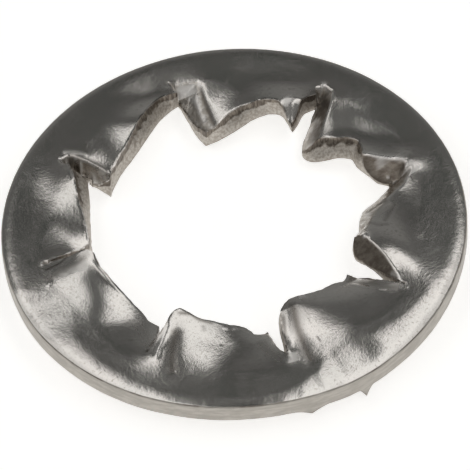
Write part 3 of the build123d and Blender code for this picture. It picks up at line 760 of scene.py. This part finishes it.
for r in range(len(row_index) - 1):
    a, b = row_index[r], row_index[r + 1]
    a2, b2 = np.roll(a, -1), np.roll(b, -1)
    faces += [np.stack([a, b, a2], 1), np.stack([a2, b, b2], 1)]
    zone += [np.full(N_RIM, 2)] * 2

V = np.concatenate(verts) * 0.001
F = np.concatenate(faces)
Z = np.concatenate(zone)
marks = {name: np.zeros(len(V)) for name in ("coined", "tone", "coarse", "down", "edge_shade", "cut")}
marks["coined"][:len(vt)] = coined
marks["tone"][:len(vt)] = tone_t
marks["cut"][:len(vt)] = cut_t
marks["coarse"][:len(vt)] = rough_t
# band along the cut outlines, darkened in the material as painted shade of the rounded-over edge
marks["edge_shade"][:len(vt)] = np.clip(1 - dt / 0.16, 0, 1)
marks["edge_shade"][len(vt):len(vt) + len(vb)] = np.clip(1 - db / 0.16, 0, 1)
marks["down"] = np.concatenate(down)

mesh = bpy.data.meshes.new("lock_washer_skin")
mesh.vertices.add(len(V))
mesh.vertices.foreach_set("co", V.astype(np.float32).ravel())
mesh.loops.add(len(F) * 3)
mesh.loops.foreach_set("vertex_index", F.astype(np.int32).ravel())
mesh.polygons.add(len(F))
mesh.polygons.foreach_set("loop_start", (np.arange(len(F)) * 3).astype(np.int32))
mesh.polygons.foreach_set("loop_total", np.full(len(F), 3, np.int32))
mesh.polygons.foreach_set("material_index", Z.astype(np.int32))
mesh.polygons.foreach_set("use_smooth", np.ones(len(F), bool))
mesh.update(calc_edges=True)
mesh.validate(verbose=False)
for name, values in marks.items():
    att = mesh.attributes.new(name, "FLOAT", "POINT")
    att.data.foreach_set("value", values.astype(np.float32))
# close the hair-thin gaps left where the outline of a tooth crosses itself
bm = bmesh.new()
bm.from_mesh(mesh)
bmesh.ops.dissolve_degenerate(bm, edges=bm.edges[:], dist=0.000002)
lone = [f for f in bm.faces if all(len(e.link_faces) != 2 for e in f.edges)]
bmesh.ops.delete(bm, geom=lone, context="FACES")
gaps = bmesh.ops.holes_fill(bm, edges=[e for e in bm.edges if len(e.link_faces) == 1], sides=0)
for f in gaps["faces"]:
    f.smooth = True
bmesh.ops.triangulate(bm, faces=gaps["faces"])
bm.to_mesh(mesh)
bm.free()
mesh.set_sharp_from_angle(angle=math.radians(50))
washer = bpy.data.objects.new("washer_metal", mesh)
bpy.context.scene.collection.objects.link(washer)


# ---------------------------------------------------------------- materials
class Nodes:
    """Short helpers for building a node material."""

    def __init__(self, name):
        self.m = bpy.data.materials.new(name)
        self.m.use_nodes = True
        self.t = self.m.node_tree
        for n in list(self.t.nodes):
            self.t.nodes.remove(n)
        out = self.t.nodes.new("ShaderNodeOutputMaterial")
        self.bsdf = self.t.nodes.new("ShaderNodeBsdfPrincipled")
        self.t.links.new(self.bsdf.outputs["BSDF"], out.inputs["Surface"])
        self.coord = self.t.nodes.new("ShaderNodeTexCoord").outputs["Object"]

    def put(self, value, socket):
        if isinstance(value, (int, float)):
            socket.default_value = value
        elif isinstance(value, tuple):
            socket.default_value = (*value, 1.0) if len(value) == 3 else value
        else:
            self.t.links.new(value, socket)

    def set(self, name, value):
        self.put(value, self.bsdf.inputs[name])

    def mark(self, name):
        n = self.t.nodes.new("ShaderNodeAttribute")
        n.attribute_name = name
        return n.outputs["Fac"]

    def grain(self, size, stretch=(1, 1, 1), detail=2.0, rough=0.55, turn=0.0):
        """Noise between 0 and 1; size is the size of its grains in millimetres."""
        p = self.t.nodes.new("ShaderNodeMapping")
        p.inputs["Scale"].default_value = [1.0 / s for s in stretch]
        p.inputs["Rotation"].default_value = (0, 0, math.radians(turn))
        self.t.links.new(self.coord, p.inputs["Vector"])
        n = self.t.nodes.new("ShaderNodeTexNoise")
        n.inputs["Scale"].default_value = 1000.0 / (2.0 * size)
        n.inputs["Detail"].default_value = detail
        n.inputs["Roughness"].default_value = rough
        self.t.links.new(p.outputs["Vector"], n.inputs["Vector"])
        return n.outputs["Fac"]

    def math(self, op, a, b=0.0, c=None, clamp=False):
        n = self.t.nodes.new("ShaderNodeMath")
        n.operation = op
        n.use_clamp = clamp
        self.put(a, n.inputs[0])
        self.put(b, n.inputs[1])
        if c is not None:
            self.put(c, n.inputs[2])
        return n.outputs[0]

    def band(self, value, low, high, to_low=0.0, to_high=1.0):
        """Smooth change from to_low to to_high while value goes from low to high."""
        n = self.t.nodes.new("ShaderNodeMapRange")
        n.interpolation_type = "SMOOTHSTEP"
        self.put(value, n.inputs["Value"])
        n.inputs["From Min"].default_value = low
        n.inputs["From Max"].default_value = high
        n.inputs["To Min"].default_value = to_low
        n.inputs["To Max"].default_value = to_high
        return n.outputs["Result"]

    def mix(self, share, a, b):
        n = self.t.nodes.new("ShaderNodeMix")
        n.data_type = "RGBA"
        self.put(share, n.inputs[0])
        self.put(a, n.inputs[6])
        self.put(b, n.inputs[7])
        return n.outputs[2]

    def bump(self, height, depth, normal=None):
        """Relief; depth in millimetres."""
        n = self.t.nodes.new("ShaderNodeBump")
        n.inputs["Strength"].default_value = 1.0
        n.inputs["Distance"].default_value = depth * 0.001
        self.put(height, n.inputs["Height"])
        if normal is not None:
            self.put(normal, n.inputs["Normal"])
        return n.outputs["Normal"]


STEEL = (0.62, 0.60, 0.575)


def steel_face():
    """Rolled faces of the strip: fine grain along the strip, small pits, coined facets, painted shade along the
    edges.
    """
    s = Nodes("steel_face")
    speck = s.grain(0.048, detail=3.0, rough=0.7)
    brushed = s.grain(0.030, stretch=(1, 1.6, 1), detail=2.0)
    clouds = s.grain(0.9, detail=2.0)
    fine = s.grain(0.10, detail=2.0)
    coined, tone, coarse, edge_shade, cut = (s.mark(k) for k in ("coined", "tone", "coarse", "edge_shade", "cut"))
    color = s.mix(s.band(clouds, 0.35, 0.65), (0.60, 0.585, 0.56), (0.64, 0.615, 0.59))
    # small dark pits
    color = s.mix(s.band(speck, 0.56, 0.68, 0.0, 0.5), color, (0.34, 0.32, 0.29))
    # facets rubbed by the punch: browner, blotchy
    blotch = s.math("MULTIPLY", coined, s.band(fine, 0.36, 0.58))
    color = s.mix(s.math("MULTIPLY", blotch, 0.55), color, (0.32, 0.28, 0.23))
    # sheared faces that lean far enough to be seen from above
    streak = s.grain(0.07, stretch=(1.6, 1, 1.6), detail=3.0, rough=0.6)
    sheared = s.mix(s.band(streak, 0.30, 0.70), (0.15, 0.125, 0.105), (0.27, 0.24, 0.205))
    color = s.mix(cut, color, sheared)
    # dirty and polished marks
    # marks painted darker and lighter: dirt and rubbed metal, and also painted shade in hollows and folds and painted
    # highlights along ridges and edges
    color = s.mix(s.math("MULTIPLY", tone, -1.0, clamp=True), color, (0.10, 0.085, 0.07))
    color = s.mix(s.math("MULTIPLY", tone, 1.0, clamp=True), color, (0.80, 0.78, 0.76))
    # edges: broken dark brown line along the cut outlines, partly the metal's own brown there and partly painted
    # shade of the rounded-over edge
    rim = s.math("MULTIPLY", s.band(edge_shade, 0.55, 1.0), s.band(fine, 0.40, 0.58))
    color = s.mix(s.math("MULTIPLY", rim, 0.75), color, (0.16, 0.135, 0.11))
    s.set("Base Color", color)
    s.set("Metallic", 1.0)
    rough = s.math("MULTIPLY_ADD", speck, 0.10, 0.135)
    rough = s.math("MULTIPLY_ADD", coined, 0.07, rough)
    rough = s.math("MULTIPLY_ADD", coarse, 0.24, rough)
    rough = s.math("MULTIPLY_ADD", cut, 0.20, rough)
    rough = s.math("MULTIPLY_ADD", s.math("ABSOLUTE", tone), 0.10, rough)
    s.set("Roughness", rough)
    n = s.bump(brushed, 0.0012)
    n = s.bump(speck, 0.0040, n)
    marked = s.math("MAXIMUM", s.math("MAXIMUM", coined, coarse), cut)
    n = s.bump(s.math("MULTIPLY", marked, s.grain(0.05, detail=2.0)), 0.008, n)
    s.set("Normal", n)
    return s.m


def sheared_edge():
    """Cut edges of the teeth: dark rolled band above, grainy torn band below."""
    s = Nodes("sheared_edge")
    down = s.mark("down")
    streak = s.grain(0.035, stretch=(1, 1, 9), detail=2.0)
    grit = s.grain(0.045, detail=3.0, rough=0.65)
    lumps = s.grain(0.16, detail=2.0)
    at = s.math("MULTIPLY_ADD", s.math("SUBTRACT", lumps, 0.5), 0.55, down)
    torn = s.band(at, 0.27, 0.37)
    rolled_color = s.mix(s.band(streak, 0.40, 0.62), (0.125, 0.105, 0.088), (0.235, 0.205, 0.17))
    torn_color = s.mix(s.band(grit, 0.38, 0.62), (0.40, 0.36, 0.315), (0.58, 0.545, 0.50))
    torn_color = s.mix(s.band(grit, 0.66, 0.74, 0.0, 0.8), torn_color, (0.14, 0.12, 0.10))
    color = s.mix(torn, rolled_color, torn_color)
    # the very edge above is painted lighter here and there, scraped metal with painted glints on the rounded edge;
    # the lower edge is dark
    color = s.mix(s.math("MULTIPLY", s.band(down, 0.0, 0.07, 1.0, 0.0), s.band(lumps, 0.52, 0.66, 0.0, 0.7)), color, (0.50, 0.48, 0.45))
    color = s.mix(s.band(down, 0.90, 1.0, 0.0, 0.45), color, (0.20, 0.17, 0.14))
    s.set("Base Color", color)
    s.set("Metallic", 0.85)
    s.set("Roughness", s.math("MULTIPLY_ADD", torn, 0.16, 0.36))
    n = s.bump(s.math("MULTIPLY", streak, s.math("SUBTRACT", 1.0, torn)), 0.004)
    n = s.bump(s.math("MULTIPLY", grit, s.math("MULTIPLY_ADD", torn, 0.8, 0.2)), 0.012, n)
    s.set("Normal", n)
    return s.m


def blanked_rim():
    """Outer rim: matt cut band, dark line along both edges."""
    s = Nodes("blanked_rim")
    down = s.mark("down")
    lines = s.grain(0.05, stretch=(5, 5, 1), detail=3.0)
    grit = s.grain(0.05, detail=3.0, rough=0.65)
    clouds = s.grain(0.35, stretch=(1, 1, 0.5), detail=2.0)
    color = s.mix(s.band(lines, 0.36, 0.64), (0.41, 0.385, 0.35), (0.50, 0.47, 0.43))
    color = s.mix(s.band(clouds, 0.50, 0.68, 0.0, 0.5), color, (0.38, 0.355, 0.32))
    color = s.mix(s.band(grit, 0.66, 0.76, 0.0, 0.6), color, (0.20, 0.18, 0.15))
    wobble = s.math("MULTIPLY_ADD", s.math("SUBTRACT", clouds, 0.5), 0.10, down)
    color = s.mix(s.math("MULTIPLY", s.band(wobble, 0.0, 0.10, 0.7, 0.0), s.band(clouds, 0.42, 0.60, 0.0, 1.0)), color, (0.115, 0.085, 0.07))
    color = s.mix(s.band(wobble, 0.93, 1.0, 0.0, 0.6), color, (0.16, 0.135, 0.11))
    s.set("Base Color", color)
    s.set("Metallic", 0.85)
    s.set("Roughness", s.math("MULTIPLY_ADD", grit, 0.14, 0.40))
    n = s.bump(lines, 0.005)
    n = s.bump(grit, 0.006, n)
    s.set("Normal", n)
    return s.m


def plain_material(name, color, rough):
    s = Nodes(name)
    s.set("Base Color", color)
    s.set("Roughness", rough)
    return s


for m in (steel_face(), sheared_edge(), blanked_rim()):
    mesh.materials.append(m)
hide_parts("lock_washer")
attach(washer, "root")

# ---------------------------------------------------------------- floor
floor_z = float(V[:, 2].min()) - 0.00002
fm = bpy.data.meshes.new("floor")
s = 0.6
fm.from_pydata([(-s, -s, floor_z), (s, -s, floor_z), (s, s, floor_z), (-s, s, floor_z)], [], [(0, 1, 2, 3)])
floor = bpy.data.objects.new("floor", fm)
bpy.context.scene.collection.objects.link(floor)
paper = plain_material("floor_paper", (0.86, 0.86, 0.855), 0.9)
paper.set("Specular IOR Level", 0.1)
paper.set("Emission Color", (1.0, 0.995, 0.985))
paper.set("Emission Strength", 0.56)
fm.materials.append(paper.m)

# ---------------------------------------------------------------- light
world = bpy.data.worlds.new("studio")
bpy.context.scene.world = world
world.use_nodes = True
wn = world.node_tree
bg = wn.nodes["Background"]
bg.inputs["Strength"].default_value = 1.0
# a dim room: dark overhead, paler walls low down and behind the camera
coord = wn.nodes.new("ShaderNodeTexCoord")
split = wn.nodes.new("ShaderNodeSeparateXYZ")
wn.links.new(coord.outputs["Generated"], split.inputs[0])
ramp = wn.nodes.new("ShaderNodeValToRGB")
ramp.color_ramp.interpolation = "EASE"
wn.links.new(split.outputs["Z"], ramp.inputs["Fac"])
ramp.color_ramp.elements[0].position = 0.0
ramp.color_ramp.elements[0].color = (0.26, 0.258, 0.25, 1)
ramp.color_ramp.elements[1].position = 0.80
ramp.color_ramp.elements[1].color = (0.045, 0.048, 0.044, 1)
for at, value in ((0.25, 0.235), (0.48, 0.205), (0.64, 0.105)):
    e = ramp.color_ramp.elements.new(at)
    e.color = (value * 1.0, value * 1.0, value * 0.97, 1)
wn.links.new(ramp.outputs["Color"], bg.inputs["Color"])


def box_light(name, x0, x1, y0, y1, height, radiance, turn=0.0, color=(1, 1, 1)):
    """A soft box above the part, facing straight down; sizes are shares of its height."""
    data = bpy.data.lights.new(name, "AREA")
    data.shape = "RECTANGLE"
    data.size = (x1 - x0) * height
    data.size_y = (y1 - y0) * height
    data.energy = radiance * math.pi * data.size * data.size_y
    data.color = color
    ob = bpy.data.objects.new(name, data)
    ob.location = ((x0 + x1) / 2 * height, (y0 + y1) / 2 * height, height)
    ob.rotation_euler = (0, 0, math.radians(turn))
    bpy.context.scene.collection.objects.link(ob)
    return ob


WARM = (1.0, 0.985, 0.97)
box_light("softbox_right_inner", 0.205, 0.56, -1.50, 0.735, 0.40, 1.26, 5.0, WARM)
box_light("softbox_right_outer", 0.465, 1.02, -0.75, 0.70, 0.40, 0.85, 0.0, WARM)
box_light("softbox_left_inner", -0.56, -0.222, -1.50, 0.75, 0.40, 1.18, -5.0, WARM)
box_light("softbox_left_outer", -1.22, -0.465, -0.75, 0.62, 0.40, 0.80, 0.0, WARM)

# ---------------------------------------------------------------- camera
elevation, tilt = math.radians(50.45), math.radians(-4.44)
distance = 0.150
focal = 4664.7
back = Vector((0, -math.cos(elevation), math.sin(elevation)))
right0 = Vector((1, 0, 0))
up0 = back.cross(right0)
right = right0 * math.cos(tilt) + up0 * math.sin(tilt)
up = -right0 * math.sin(tilt) + up0 * math.cos(tilt)
shift_x = (234.10 - 235.0) * distance / focal
shift_y = -(228.26 - 235.0) * distance / focal
place = back * distance - right * shift_x - up * shift_y
cam_data = bpy.data.cameras.new("camera")
cam_data.sensor_width = 36.0
cam_data.lens = focal / 470.0 * 36.0
cam_data.clip_start = 0.005
cam_data.clip_end = 5.0
cam = bpy.data.objects.new("camera", cam_data)
bpy.context.scene.collection.objects.link(cam)
cam.matrix_world = Matrix(((right.x, up.x, back.x, place.x), (right.y, up.y, back.y, place.y),
                           (right.z, up.z, back.z, place.z), (0, 0, 0, 1)))
bpy.context.scene.camera = cam
bpy.context.scene.view_settings.view_transform = "Standard"
bpy.context.scene.view_settings.look = "None"

# ---------------------------------------------------------------- update the view layer
bpy.context.view_layer.update()
